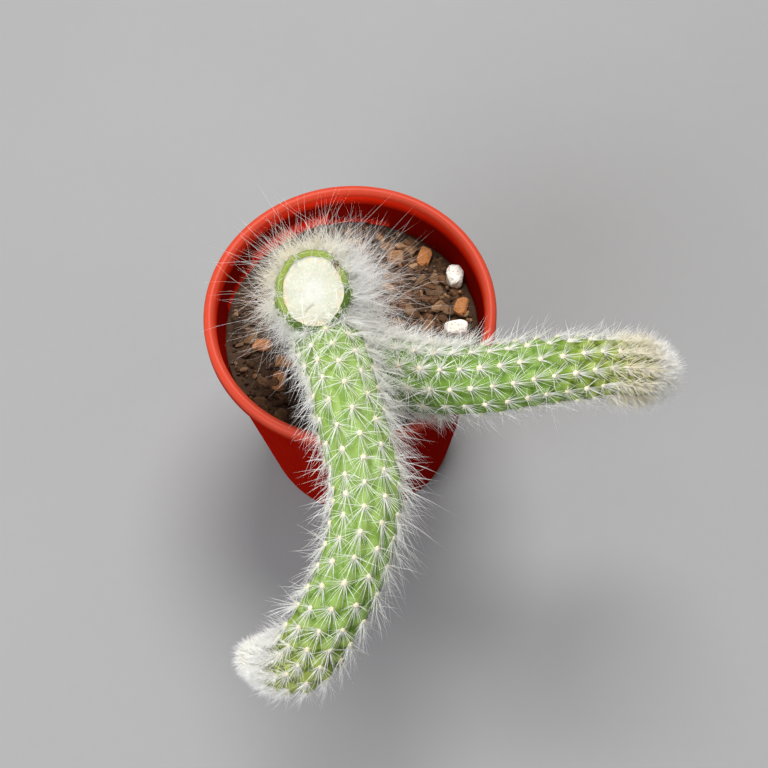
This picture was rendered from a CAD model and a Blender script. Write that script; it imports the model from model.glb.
"""Dresses a potted monkey tail cactus: its moulded pot, bark mix, cut main stem and two hanging shoots."""

import math

import bmesh
import bpy
import numpy as np
from bpy.props import FloatProperty, FloatVectorProperty, IntProperty, PointerProperty
from bpy.types import Operator, Panel, PropertyGroup
from mathutils import Matrix, Vector, noise


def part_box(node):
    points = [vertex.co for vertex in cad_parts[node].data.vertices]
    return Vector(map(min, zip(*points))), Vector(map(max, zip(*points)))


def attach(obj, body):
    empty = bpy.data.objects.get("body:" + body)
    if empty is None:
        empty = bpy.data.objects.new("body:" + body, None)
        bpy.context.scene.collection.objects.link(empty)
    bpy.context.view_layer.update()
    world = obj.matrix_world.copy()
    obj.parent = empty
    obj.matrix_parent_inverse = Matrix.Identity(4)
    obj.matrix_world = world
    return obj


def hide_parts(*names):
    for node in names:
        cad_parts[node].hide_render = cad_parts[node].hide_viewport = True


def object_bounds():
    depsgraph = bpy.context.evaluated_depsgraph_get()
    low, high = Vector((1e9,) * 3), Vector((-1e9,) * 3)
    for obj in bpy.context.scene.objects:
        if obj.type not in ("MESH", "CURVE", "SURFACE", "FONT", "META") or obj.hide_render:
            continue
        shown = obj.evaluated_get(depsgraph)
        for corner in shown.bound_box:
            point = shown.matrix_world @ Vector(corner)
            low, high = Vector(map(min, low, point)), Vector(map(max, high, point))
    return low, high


bl_info = {
    "name": "Potted monkey tail cactus",
    "version": (1, 0, 0),
    "blender": (4, 5, 0),
    "location": "3D View > Sidebar > Cactus",
    "description": "Builds the skin, wool, spines, bark mix and pot of a hanging column cactus",
    "category": "Add Mesh",
}

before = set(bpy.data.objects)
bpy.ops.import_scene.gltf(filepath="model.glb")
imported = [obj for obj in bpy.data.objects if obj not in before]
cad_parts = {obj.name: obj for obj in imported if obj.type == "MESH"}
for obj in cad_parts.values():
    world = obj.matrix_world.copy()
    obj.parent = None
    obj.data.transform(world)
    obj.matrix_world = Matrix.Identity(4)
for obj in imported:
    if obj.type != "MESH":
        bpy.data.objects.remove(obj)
SOLID_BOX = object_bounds()
POT_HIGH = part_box("nursery_pot")[1]

BODY = "root"
SEED = 11
TURN = 2 * math.pi
# Metres in a millimetre, and the other way round
MM = 0.001
MM_IN_METRE = 1000

# The three stems. Points are in metres, lengths in millimetres from the foot, and turns in degrees.
#   route: the middle line from foot to tip
#   spots: lengths at which one rib carries its woolly spots
#   stagger: how many ribs round the spots have to climb before they are level again
#   turns: turn of that rib about the stem, at lengths along it
#   shares: share of the stem's radius, at lengths along it
#   green: share of full green at lengths along it; the rest is paler
#   spines: length of a spine, at lengths along the stem
#   neck: length over which the relief grows, in metres
#   tip: newest stretch, under short fur instead of long spines, in metres
#   golden: 1 where the tip's spines are golden
STEMS = {
    "main_stem": {
        "route": ((-0.0096, 0.0146, 0.046), (-0.0092, 0.0080, 0.062), (-0.0079, -0.0105, 0.1056)),
        "spots": (2.0, 7.2, 12.4, 17.6, 22.7, 27.8, 32.8, 37.8, 42.8, 47.8, 52.8, 57.8, 62.8),
        "stagger": 5,
        "turns": ((0, 12.0), (60, 12.0)),
        "shares": ((0, 1.0), (60, 1.0)),
        "green": ((0, 0.5), (60, 0.5)),
        "spines": (),
        "neck": 0.0,
        "tip": 0.0,
        "golden": 0.0,
    },
    "front_shoot": {
        "route": (
            (-0.0082, -0.0078, 0.0890), (-0.0060, -0.0167, 0.0926), (-0.0030, -0.0272, 0.0971),
            (-0.0012, -0.0394, 0.0994), (0.0007, -0.0506, 0.0985), (0.0018, -0.0598, 0.0973),
            (0.0006, -0.0664, 0.0953), (-0.0016, -0.0733, 0.0919), (-0.0054, -0.0803, 0.0875),
            (-0.0108, -0.0866, 0.0815), (-0.0175, -0.0920, 0.0746), (-0.0306, -0.0890, 0.0706),
        ),
        "spots": (
            -0.5, 4.6, 9.6, 14.4, 19.0, 23.6, 29.0, 34.6, 40.2, 46.4, 52.2, 56.8, 61.5, 66.6, 72.5, 78.6,
            84.4, 90.0, 94.8, 98.7, 101.8, 104.3, 106.4, 108.1, 109.5, 110.7, 111.7, 112.5,
        ),
        "stagger": 5,
        "turns": (
            (20, 197), (30, 193), (36, 190), (42, 187), (48, 190), (54, 196), (66, 194), (80, 198),
            (110, 200),
        ),
        "shares": (
            (0, 0.90), (6, 1.0), (14, 1.03), (26, 1.0), (95, 1.0), (100, 0.97), (103, 0.91), (107, 0.72),
            (110, 0.51), (115, 0.44),
        ),
        "green": ((0, 0.35), (20, 0.15), (112, 0.15)),
        "spines": (
            (0, 10.5), (25, 12.0), (55, 11.5), (70, 9.2), (80, 8.2), (95, 7.2), (103, 5.4), (108, 3.8),
        ),
        "neck": 0.008,
        "tip": 0.0080,
        "golden": 0.0,
    },
    "right_shoot": {
        "route": (
            (-0.0050, -0.0042, 0.0744), (-0.0003, -0.0120, 0.0766), (0.0079, -0.0221, 0.0838),
            (0.0186, -0.0277, 0.0887), (0.0329, -0.0311, 0.0934), (0.0472, -0.0311, 0.0956),
            (0.0616, -0.0314, 0.0955), (0.0763, -0.0333, 0.0921),
        ),
        "spots": (
            -4.6, 0.7, 6.0, 11.4, 16.7, 22.1, 27.5, 32.8, 38.2, 43.2, 47.8, 52.2, 56.6, 60.9, 65.5, 70.4,
            75.0, 79.0, 82.6, 85.7, 88.3, 90.5, 92.3, 93.7, 94.8, 95.7, 96.4, 97.0,
        ),
        "stagger": 6,
        "turns": ((33, 260), (45, 261), (55, 258), (65, 257), (72, 255), (78, 250), (84, 245), (94, 240)),
        "shares": (
            (0, 0.72), (5, 0.86), (13, 1.0), (22, 1.05), (38, 1.04), (58, 0.99), (76, 0.93), (88, 0.82),
            (97, 0.62),
        ),
        "green": ((0, 1.0), (45, 0.95), (62, 0.6), (80, 0.35), (95, 0.3)),
        "spines": ((0, 9.2), (30, 8.8), (55, 7.8), (75, 7.2), (84, 6.4), (91, 4.5)),
        "neck": 0.013,
        "tip": 0.0050,
        "golden": 1.0,
    },
}
MAIN_FOOT, MIX_LEVEL = (Vector(point) for point in STEMS["main_stem"]["route"][:2])
BURIED_LENGTH = (MIX_LEVEL - MAIN_FOOT).length
# Where the spots of the main stem start: a little under the mix, which hides the rest
FIRST_SPOT = BURIED_LENGTH - 0.008

# How the cut end of the main stem is drawn out: across, and in height, over its last stretch
CUT_OVAL = (0.97, 1.10)
CUT_REACH = 0.014
# Where the relief is shaved off beside the cut, back from it
SHAVED_ZONE = (0.0028, 0.0004)
# Ways round the cut, in degrees from its right, of the tufts of wool on its rim and of its one dried place
RIM_TUFTS = (180, 52, 34, -37, -62, 219, 118, -105, 5)
RIM_DRIED = 47
# The rounded green edge of the cut: how far in and how far up each row of its skin lies
RIM_ROWS = ((0.00018, 0.00016), (0.00042, 0.00026), (0.0008, 0.00028), (0.0012, 0.0002), (0.00155, 0.0001))
PITH_ROWS = 34
# A fine crack in the pith, in millimetres across and up from its middle
PITH_CRACK = (
    (-2.1, -5.2), (-1.85, -4.85), (-1.6, -4.5), (-1.3, -4.15), (-1.0, -3.9), (-0.6, -3.6), (-0.2, -3.4),
)
# Way round the top of the main stem in degrees, and length in millimetres, of its longest hairs
LONG_HAIRS = (
    (155, 18), (134, 15), (102, 17), (96, 12), (79, 17), (64, 13), (197, 18), (181, 13), (214, 12), (38, 15),
    (8, 16), (-14, 14), (120, 12), (168, 11), (-30, 11), (228, 13), (146, 12),
)

# Ribs and columns of a skin, metres between its rows and between a route's points, and rows over a tip
RIBS = 11
RIB_ANGLE = TURN / RIBS
COLUMNS_PER_RIB = 11
COLUMNS = RIBS * COLUMNS_PER_RIB
ROW_STEP = 0.00045
ROUTE_STEP = 0.0004
TIP_ROWS = 30

# Shape of one knob, in shares of the space between ribs and between the spots of a rib
KNOB_ACROSS = 0.66
KNOB_BEFORE = 0.74
KNOB_AFTER = 0.34
# How sharply knobs meet, how distinct those of a rib stay on old growth, and the reach of a spot's halo
KNOB_BLEND = 9.0
KNOBBLY = 0.35
SPOT_REACH = 0.15
# Where an effect starts on a stem and where it is full, back from its end
KNOBBLY_ZONE = (0.050, 0.018)
SMOOTH_ZONE = (0.0090, 0.0030)
YOUNG_ZONE = (0.036, 0.008)
MARKED_ZONE = (0.070, 0.035)
TIP_FELT_ZONE = (0.0070, 0.0045)
NEWEST_ZONE = (0.017, 0.005)
GOLDEN_START = (0.018, 0.013)
GOLDEN_END = (0.003, 0.008)
# The same, onward from its foot
OLDEST_ZONE = (0.034, 0.014)
LATE_ZONE = (0.070, 0.088)
CREST_START = (0.010, 0.018)
CREST_END = (0.056, 0.040)
# The oldest stretch of a shoot, where its spots carry extra wool, and the share of its neck that is bare
FUZZY_LENGTH = 0.042
BARE_NECK = 0.7
# Where the hair of the main stem gets denser, and where some of it lies over the cut, back from the cut
DENSE_ZONE = (0.030, 0.012)
FOLDED_ZONE = (0.0050, 0.0020)
# Fur at the end of a shoot: the zone that it covers, back from the tip, and how far it fans out
END_FUR = ((0.0, 0.0054), 5.0)
BALL_FUR = ((0.0040, 0.0094), 2.6)
COLLAR_FUR = ((0.0045, 0.0155), 2.1)
# Length of that fur over the end, what is added to it where golden, and on the ball and the collar
END_LENGTH = 0.0028
GOLDEN_LENGTH = 0.0009
BALL_LENGTH = 0.0034
COLLAR_LENGTH = 0.0047

# Size of the main stem's woolly spots as a share of a shoot's, and of the extra wool on old spots
MAIN_WOOL = 1.25
FUZZ_SIZE = 2.1
# Felted hairs on each spot of the main stem and of the shoots, then extra ones on old and on golden growth
MAIN_FLUFF = 14
SHOOT_FLUFF = 20
OLD_FLUFF = 12
GOLDEN_FLUFF = 58

# Sides of a hair, and how many tints its map tells apart
HAIR_SIDES = 3
HAIR_TINTS = 64
HAIR_MAP = "hair"
BAKE_MAP = "OFBake"
# Height of the last row of a skin on its map: the cap lies above it
CAP_START = 0.98
# How deep the foot of a spine or hair is sunk in the skin, and how near the mix a spot may lie
SINK = 0.00005
SPOT_ROOM = 0.0004
# Room round the solids' box for the ends of hairs, and from the pot's lip in to its clear space
BOX_ROOM = 0.0008
WALL_ROOM = 0.0045
# How far above the mix the points of spines and of the main stem's hairs stay
SPINE_GAP = 0.001
HAIR_GAP = 0.002
# Room round a shoot where the main stem has no wool, and how far into a shoot its hair may start
WOOL_ROOM = 0.0008
HAIR_OVERLAP = 0.0010
# How far from the middle of a woolly spot its spines and its hairs grow
SPINE_SPREAD = 0.0004
HAIR_SPREAD = 0.0007
# Radii of the hairs of the woolly spots, and of the longest hairs and rim tufts
FLUFF_RADIUS = 0.00005
LONG_RADIUS = 0.00006

# Steps round the pot, and columns and rings of the mix's top
POT_STEPS = 168
GROUND_COLUMNS = 230
GROUND_RINGS = 74
# Heights between which dust thickens on the pot's wall, and places across it between which the mix darkens
DUSTY_HEIGHTS = (0.0655, 0.0622)
SHADE_SPREAD = (0.006, -0.020)
# Room kept free of bits round the main stem, and of chips and crumbs inside the wall
FOOT_ROOM = 0.0008
CHIP_ROOM = 0.0026
CRUMB_ROOM = 0.0010
# Places of the bits of fresh orange bark, and their size
FRESH_BARK = ((0.0290, 0.0052), (-0.0176, -0.0073), (-0.0196, -0.0127), (-0.0235, -0.0020), (0.0205, 0.0210))
FRESH_SIZE = (0.0028, 0.0018, 0.0010)
# Place and size of each white stone
STONES = (
    ((0.0280, 0.0136, 0.0640), (0.0023, 0.0032, 0.0024)),
    ((0.0272, -0.0012, 0.0630), (0.0031, 0.0023, 0.0019)),
)
# Place, width and tint of each soft light
KEY_LIGHT = ((0.08, 0.30, 0.84), 0.42, (1.0, 0.98, 0.95))
FILL_LIGHT = ((-0.6, -0.6, 0.65), 0.8, (0.96, 0.98, 1.0))


def amount(name, description, default, **more):
    return FloatProperty(name=name, description=description, default=default, **more)


def length(name, description, default):
    return amount(name, description, default, min=0.0, unit="LENGTH", subtype="DISTANCE", precision=5)


def count(name, description, default):
    return IntProperty(name=name, description=description, default=default, min=1)


def colour(name, description, default):
    return FloatVectorProperty(
        name=name, description=description, default=default, size=3, min=0.0, max=1.0, subtype="COLOR",
    )


class PotSettings(PropertyGroup):
    lip_radius: length("Lip radius", "Outer radius of the rolled lip", POT_HIGH.x)
    height: length("Height", "Height of the pot", POT_HIGH.z)
    lip_width: length("Lip width", "Width of the rolled lip, seen from above", 0.0029)
    lip_depth: length("Lip depth", "Height of the lip's outer band", 0.0042)
    wall_top: length("Wall top", "Outer radius of the wall just under the lip", 0.0357)
    foot_radius: length("Foot radius", "Outer radius of the foot", 0.0255)
    wall: length("Wall", "Thickness of the moulded wall", 0.0012)
    floor: length("Floor", "Thickness of the floor", 0.0022)
    drain_radius: length("Drain hole", "Radius of a drain hole", 0.003)
    drain_circle: length("Drain circle", "Radius of the circle the drain holes lie on", 0.0155)
    drains: count("Drain holes", "Number of drain holes", 5)
    red: colour("Wall colour", "Red of the moulded plastic", (0.165, 0.0022, 0.0007))
    glow: colour("Inner colour", "Red of the inner wall, where light shines through", (0.92, 0.019, 0.002))
    coral: colour("Rubbed colour", "Lighter red on the lip and where it is rubbed", (0.44, 0.052, 0.025))
    dust: colour("Dust", "Soil dust on the inner wall", (0.09, 0.035, 0.018))


class MixSettings(PropertyGroup):
    top: length("Top", "Height of the mix above the pot's foot", 0.0618)
    roughness: length("Roughness", "How far the top of the mix rises and falls", 0.0016)
    chip: length("Chip", "Length of an ordinary bark chip", 0.0046)
    chips: count("Chips", "Number of bark chips", 420)
    crumbs: count("Crumbs", "Number of crumbs between the chips", 1500)
    peat: colour("Peat", "Dark damp peat", (0.027, 0.014, 0.008))
    bark: colour("Bark", "Brown bark", (0.150, 0.068, 0.027))
    tan: colour("Tan", "Dry tan bark", (0.43, 0.26, 0.14))
    orange: colour("Orange", "Fresh orange bark", (0.50, 0.19, 0.055))
    white: colour("Stone", "White pumice", (0.88, 0.86, 0.80))


class StemSettings(PropertyGroup):
    main_radius: length("Main stem", "Radius of the main stem between its knobs", 0.0090)
    shoot_radius: length("Shoots", "Radius of a shoot between its knobs", 0.0073)
    knob: length("Knob", "How far a knob stands out of the groove beside it", 0.0014)
    groove: length("Groove", "How deep the grooves lie under the stem's radius", 0.00045)
    wool: length("Wool", "Radius of a woolly spot", 0.00056)
    skin: length("Cut skin", "Width of the green ring round the cut", 0.0016)
    light: colour("Light green", "Pale ribs", (0.190, 0.290, 0.038))
    full: colour("Full green", "Ribs of the greener parts", (0.096, 0.192, 0.004))
    deep: colour("Deep green", "Grooves", (0.075, 0.165, 0.005))
    bloom: colour("Bloom", "Waxy bluish patches", (0.235, 0.345, 0.128))
    young: colour("Young green", "New growth at the tips", (0.245, 0.285, 0.022))
    olive: colour("Olive", "Grooves of the new growth", (0.092, 0.108, 0.003))
    tip_felt: colour("Tip felt", "Cream felt of the growing tips", (0.64, 0.60, 0.42))
    rim: colour("Rim", "Green ring of skin round the cut", (0.160, 0.245, 0.020))
    rim_light: colour("Light rim", "Lighter patches of that ring", (0.290, 0.350, 0.080))
    rim_streak: colour("Rim streaks", "Pale streaks of that ring", (0.38, 0.40, 0.18))
    rim_deep: colour("Deep rim", "Lower side of that ring", (0.050, 0.095, 0.008))
    rim_dried: colour("Dried rim", "Dried place on that ring", (0.10, 0.055, 0.020))
    pith: colour("Pith", "Pale heart of the cut stem", (0.40, 0.405, 0.34))
    pith_white: colour("White pith", "Middle and fibres of the heart", (0.52, 0.52, 0.49))
    pith_green: colour("Green pith", "Tinge of the heart's cells", (0.33, 0.33, 0.10))
    pith_edge: colour("Dried pith", "Tan, dried edge of the pith", (0.56, 0.42, 0.24))
    pith_crack: colour("Crack", "Fine crack in the heart", (0.20, 0.16, 0.06))


class HairSettings(PropertyGroup):
    spine_share: amount("Spine length", "Share of the measured length of every spine", 1.0, min=0.1, max=2.0)
    hair: length("Hair", "Length of a hair on the main stem", 0.0110)
    spine_radius: length("Spine radius", "Radius of a spine at its foot", 0.000075)
    hair_radius: length("Hair radius", "Radius of a hair at its foot", 0.00006)
    spines: count("Spines", "Spines on each woolly spot", 20)
    tip_fur: count("Tip fur", "Short hairs over the end of each shoot", 1900)
    ball: count("Ball fur", "Short hairs behind the end of the front shoot", 1500)
    collar: count("Golden spines", "Golden spines behind the right tip", 430)
    hairs: count("Hairs", "Hairs on each woolly spot of the main stem", 62)
    felt: count("Felt", "Short curly hairs round the top of the main stem", 1300)
    white: colour("White", "Clear white hair", (0.98, 0.98, 0.97))
    cream: colour("Cream", "Cream hair", (0.93, 0.89, 0.68))
    golden: colour("Golden", "Golden tan hair", (0.92, 0.71, 0.28))
    wool: colour("Wool", "Felt of the woolly spots", (0.72, 0.60, 0.38))


class StageSettings(PropertyGroup):
    floor_size: length("Floor", "Half the width of the floor", 3.0)
    floor: colour("Floor colour", "Pale grey floor", (0.25, 0.25, 0.255))
    sky: amount("Surround", "Brightness of the plain surround", 0.40, min=0.0, max=1.0, subtype="FACTOR")
    key: amount("Key light", "Power of the main soft light", 10.0, min=0.0, unit="POWER")
    fill: amount("Fill light", "Power of the soft fill", 10.5, min=0.0, unit="POWER")
    camera_height: amount("Elevation", "How far the camera looks down", math.radians(64.3), subtype="ANGLE")
    camera_roll: amount("Roll", "Turn of the camera about its view", math.radians(-4.0), subtype="ANGLE")
    camera_distance: length("Camera distance", "From the camera to the point it looks at", 0.5007)
    camera_aim: FloatVectorProperty(
        name="Aim", description="Point the camera looks at", default=(0.00745, -0.0216, 0.075), size=3,
        subtype="TRANSLATION", unit="LENGTH",
    )
    lens: amount("Lens", "Focal length in millimetres", 93.75, min=1.0)


def unit(vectors):
    return vectors / np.maximum(np.linalg.norm(vectors, axis=-1, keepdims=True), 1e-12)


def smoothstep(low, high, value):
    t = np.clip((value - low) / (high - low), 0.0, 1.0)
    return t * t * (3 - 2 * t)


def swung(first, second, turns):
    """Directions swung from the first one towards the second."""
    return first * np.cos(turns)[..., None] + second * np.sin(turns)[..., None]


def build_mesh(name, points, faces, maps=None, shades=None, materials=(), slots=None, smooth=True):
    """A mesh object from points, groups of faces, UV maps by corner and colour attributes by point."""
    mesh = bpy.data.meshes.new(name)
    groups = [np.asarray(group, dtype=np.int32) for group in faces]
    corners = np.concatenate([group.ravel() for group in groups])
    sizes = np.concatenate([np.full(len(group), group.shape[1]) for group in groups])
    mesh.vertices.add(len(points))
    mesh.vertices.foreach_set("co", np.asarray(points, dtype=np.float32).ravel())
    mesh.loops.add(len(corners))
    mesh.loops.foreach_set("vertex_index", corners)
    mesh.polygons.add(len(sizes))
    mesh.polygons.foreach_set("loop_start", np.concatenate([[0], np.cumsum(sizes)[:-1]]).astype(np.int32))
    mesh.polygons.foreach_set("use_smooth", np.full(len(sizes), smooth))
    if slots is not None:
        mesh.polygons.foreach_set("material_index", np.asarray(slots, dtype=np.int32))
    mesh.update(calc_edges=True)
    for map_name, places in (maps or {}).items():
        layer = mesh.uv_layers.new(name=map_name)
        layer.data.foreach_set("uv", np.asarray(places, dtype=np.float32).ravel())
    for shade_name, values in (shades or {}).items():
        layer = mesh.attributes.new(shade_name, "FLOAT_COLOR", "POINT")
        layer.data.foreach_set("color", np.asarray(values, dtype=np.float32).ravel())
    for material in materials:
        mesh.materials.append(material)
    return link_object(name, mesh)


def link_object(name, data):
    """A new object with the given data, in the scene."""
    made = bpy.data.objects.new(name, data)
    bpy.context.scene.collection.objects.link(made)
    return made


def dress(piece, slot_name, *nodes):
    """Hands a finished piece to the frame: it rides on the body and may stand for solids."""
    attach(piece, BODY)
    if nodes:
        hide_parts(*nodes)


class Wiring:
    """A node tree being wired up, with short ways to add its nodes."""

    def __init__(self, tree):
        self.tree = tree

    def add(self, kind, inputs=None, **settings):
        """Adds a node, sets it up, feeds its inputs by name or number, and gives back its outputs."""
        made = self.tree.nodes.new(kind)
        for key, value in settings.items():
            setattr(made, key, value)
        for key, value in (inputs or {}).items():
            self.feed(made.inputs[key], value)
        return made.outputs

    def feed(self, socket, value):
        """Links an output to a socket, or sets a plain value on it."""
        if isinstance(value, bpy.types.NodeSocket):
            self.tree.links.new(value, socket)
        elif socket.type == "RGBA":
            socket.default_value = (*value, 1.0)
        else:
            socket.default_value = value

    def place(self):
        return self.add("ShaderNodeTexCoord")["Object"]

    def noise(self, place, scale, detail=3.0, roughness=0.55, distortion=0.0):
        inputs = {"Vector": place, "Scale": scale, "Detail": detail, "Roughness": roughness}
        return self.add("ShaderNodeTexNoise", {**inputs, "Distortion": distortion})["Fac"]

    def dots(self, scale, inner, outer):
        """Round dots scattered over the object, full inside and fading to their edge."""
        cells = self.add("ShaderNodeTexVoronoi", {"Vector": self.place(), "Scale": scale})["Distance"]
        return self.band(cells, inner, outer, 1.0, 0.0)

    def band(self, value, low, high, low_out=0.0, high_out=1.0):
        """A value spread from one range to another, smoothly and with its ends held."""
        inputs = {"Value": value, "From Min": low, "From Max": high, "To Min": low_out, "To Max": high_out}
        return self.add("ShaderNodeMapRange", inputs, interpolation_type="SMOOTHSTEP")["Result"]

    def math(self, operation, first, second):
        return self.add("ShaderNodeMath", {0: first, 1: second}, operation=operation)[0]

    def times(self, first, second):
        return self.math("MULTIPLY", first, second)

    def plus(self, first, second):
        return self.math("ADD", first, second)

    def minus(self, first, second):
        return self.math("SUBTRACT", first, second)

    def mix(self, factor, first, second):
        inputs = {"Factor": factor, "A": first, "B": second}
        return self.add("ShaderNodeMix", inputs, data_type="RGBA")["Result"]

    def ramp(self, value, stops):
        outputs = self.add("ShaderNodeValToRGB", {"Fac": value})
        elements = outputs["Color"].node.color_ramp.elements
        while len(elements) < len(stops):
            elements.new(0.5)
        for element, (position, shade) in zip(elements, stops):
            element.position = position
            element.color = (*shade, 1.0)
        return outputs["Color"]

    def split(self, attribute):
        """The three channels of a colour stored on the mesh, and its alpha."""
        read = self.add("ShaderNodeAttribute", attribute_name=attribute)
        return (*self.add("ShaderNodeSeparateColor", {"Color": read["Color"]}), read["Alpha"])

    def mottle(self, patch_scale, grain_scale, contrast):
        """Soft patches and fine grain over the object, from the group that the finishes share."""
        inputs = {"Place": self.place(), "Patch scale": patch_scale, "Grain scale": grain_scale}
        outputs = self.add("ShaderNodeGroup", {**inputs, "Contrast": contrast}, node_tree=mottle_group())
        return outputs["Patches"], outputs["Grain"]

    def bump(self, height, distance, strength=1.0):
        inputs = {"Height": height, "Distance": distance, "Strength": strength}
        return self.add("ShaderNodeBump", inputs)["Normal"]


class Finish(Wiring):
    """A new material. Values that are the same all over are set straight on its surface shader."""

    def __init__(self, name, **plain):
        self.material = bpy.data.materials.new(name)
        self.material.use_nodes = True
        super().__init__(self.material.node_tree)
        self.paint(**plain)

    def paint(self, **values):
        """Sets or links inputs of the surface shader."""
        surface = self.tree.nodes["Principled BSDF"]
        for key, value in values.items():
            self.feed(surface.inputs[key.replace("_", " ")], value)
        return self.material


def mottle_group():
    """The shader node group of soft patches and fine grain, built once."""
    name = "Mottle and grain"
    if name in bpy.data.node_groups:
        return bpy.data.node_groups[name]
    tree = bpy.data.node_groups.new(name, "ShaderNodeTree")
    tree.interface.new_socket(name="Place", in_out="INPUT", socket_type="NodeSocketVector")
    for socket, default in (("Patch scale", 200.0), ("Grain scale", 2000.0), ("Contrast", 0.5)):
        made = tree.interface.new_socket(name=socket, in_out="INPUT", socket_type="NodeSocketFloat")
        made.default_value = default
    for socket in ("Patches", "Grain"):
        tree.interface.new_socket(name=socket, in_out="OUTPUT", socket_type="NodeSocketFloat")
    wires = Wiring(tree)
    place, patch_scale, grain_scale, contrast = list(wires.add("NodeGroupInput"))[:4]
    low = wires.times(contrast, 0.5)
    patches = wires.noise(place, patch_scale, 4.0, 0.6, 0.3)
    patched = wires.band(patches, wires.plus(0.5, low), wires.minus(0.5, low), 1.0, 0.0)
    wires.add("NodeGroupOutput", {"Patches": patched, "Grain": wires.noise(place, grain_scale, 2.0, 0.7)})
    return tree


def skin_material(stem):
    """Waxy green skin: light knobs, deep grooves, pale halo round each woolly spot, yellower at the tip."""
    skin = Finish("stem skin", Subsurface_Weight=0.12, Subsurface_Scale=0.0015, Specular_IOR_Level=0.25,
                  Subsurface_Radius=(0.6, 1.0, 0.25))
    groove, halo, young, green = skin.split("relief")
    patches, grain = skin.mottle(260.0, 2600.0, 0.62)
    waxy = skin.times(skin.minus(1.15, green), 0.55)
    body = skin.mix(skin.times(patches, waxy), skin.mix(green, stem.light, stem.full), stem.bloom)
    body = skin.mix(young, body, stem.young)
    body = skin.mix(skin.band(grain, 0.48, 0.62, 0.0, 0.45), body, stem.bloom)
    blotches = skin.noise(skin.place(), 640.0, 3.0, 0.65)
    uneven = skin.plus(skin.times(skin.minus(grain, 0.5), 0.6), skin.times(skin.minus(blotches, 0.5), 2.1))
    shade = skin.mix(young, stem.deep, stem.olive)
    body = skin.mix(skin.band(skin.plus(groove, uneven), 0.22, 0.90), body, shade)
    islands = skin.noise(skin.place(), 300.0, 2.0, 0.5, 0.4)
    body = skin.mix(skin.band(islands, 0.50, 0.62, 0.0, 0.46), body, shade)
    newest = skin.math("POWER", young, 3.0)
    pale = skin.mix(newest, skin.mix(0.5, stem.young, stem.bloom), stem.tip_felt)
    felted = skin.plus(0.35, skin.times(newest, 0.6))
    return skin.paint(
        Base_Color=skin.mix(skin.times(halo, felted), body, pale),
        Roughness=skin.band(patches, 0.0, 1.0, 0.40, 0.58),
        Normal=skin.bump(skin.plus(grain, blotches), 0.00010, 0.7),
    )


def rim_material(stem):
    """The green ring of skin where the stem was cut."""
    rim = Finish("cut skin", Specular_IOR_Level=0.2)
    _, _, dried, lower = rim.split("relief")
    patches, grain = rim.mottle(380.0, 3000.0, 0.7)
    streaks = rim.noise(rim.place(), 1500.0, 3.0, 0.7)
    body = rim.mix(patches, stem.rim, stem.rim_light)
    body = rim.mix(rim.band(streaks, 0.50, 0.70, 0.0, 0.6), body, stem.rim_streak)
    body = rim.mix(rim.band(rim.plus(lower, patches), 0.55, 1.5), body, stem.rim_deep)
    return rim.paint(
        Base_Color=rim.mix(rim.times(dried, 0.9), body, stem.rim_dried),
        Roughness=rim.band(grain, 0.3, 0.7, 0.32, 0.5),
        Normal=rim.bump(rim.plus(grain, streaks), 0.0003),
    )


def pith_material(stem):
    """The pale heart of the cut: fine threads run out from its middle, and its edge has dried tan."""
    pith = Finish("cut pith", Subsurface_Weight=0.25, Subsurface_Scale=0.001, Specular_IOR_Level=0.35)
    ring, spoke, crack, _ = pith.split("relief")
    patches, grain = pith.mottle(330.0, 2600.0, 0.5)
    around = pith.add("ShaderNodeCombineXYZ", {"X": spoke, "Y": pith.times(ring, 0.12)})["Vector"]
    threads = pith.noise(around, 60.0, 3.0, 0.6)
    rings = pith.noise(ring, 26.0, 4.0, 0.7)
    fibre = pith.times(pith.plus(threads, rings), 0.5)
    body = pith.mix(pith.band(fibre, 0.36, 0.62), stem.pith, stem.pith_white)
    outer = pith.band(ring, 0.15, 0.75, 0.25, 1.0)
    greenish = pith.mix(0.30, stem.pith, stem.pith_green)
    walls = pith.minus(1.0, pith.dots(1500.0, 0.25, 0.55))
    body = pith.mix(pith.times(pith.times(walls, outer), 0.5), body, greenish)
    body = pith.mix(pith.times(pith.times(patches, outer), 0.35), body, greenish)
    body = pith.mix(pith.band(ring, 0.05, 0.45, 0.6, 0.0), body, stem.pith_white)
    rare = pith.band(pith.noise(pith.place(), 500.0), 0.60, 0.68)
    specks = pith.times(pith.dots(900.0, 0.10, 0.20), rare)
    body = pith.mix(pith.times(specks, 0.6), body, stem.pith_edge)
    dried = pith.times(pith.band(ring, 0.80, 1.0), pith.band(patches, 0.2, 0.8, 0.0, 0.55))
    body = pith.mix(dried, body, stem.pith_edge)
    height = pith.plus(pith.times(threads, 0.7), pith.times(grain, 0.5))
    return pith.paint(
        Base_Color=pith.mix(pith.times(crack, 0.7), body, stem.pith_crack),
        Roughness=pith.band(grain, 0.3, 0.7, 0.5, 0.75),
        Normal=pith.bump(height, 0.00016, 0.8),
    )


def hair_material(hair):
    """Glassy hair and spines: white to gold across their map, and woolly at the foot."""
    finish = Finish("hair and spines", Roughness=0.42, Specular_IOR_Level=0.6, Subsurface_Weight=0.9,
                    Subsurface_Scale=0.0010, Subsurface_Radius=(1.0, 1.0, 0.9), Sheen_Weight=0.8,
                    Sheen_Roughness=0.4)
    read = finish.add("ShaderNodeUVMap", uv_map=HAIR_MAP)["UV"]
    apart = finish.add("ShaderNodeSeparateXYZ", {"Vector": read})
    tint = finish.ramp(apart["X"], [(0.0, hair.white), (0.5, hair.cream), (1.0, hair.golden)])
    return finish.paint(Base_Color=finish.mix(finish.band(apart["Y"], 0.0, 0.28, 0.6, 0.0), tint, hair.wool))


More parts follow.
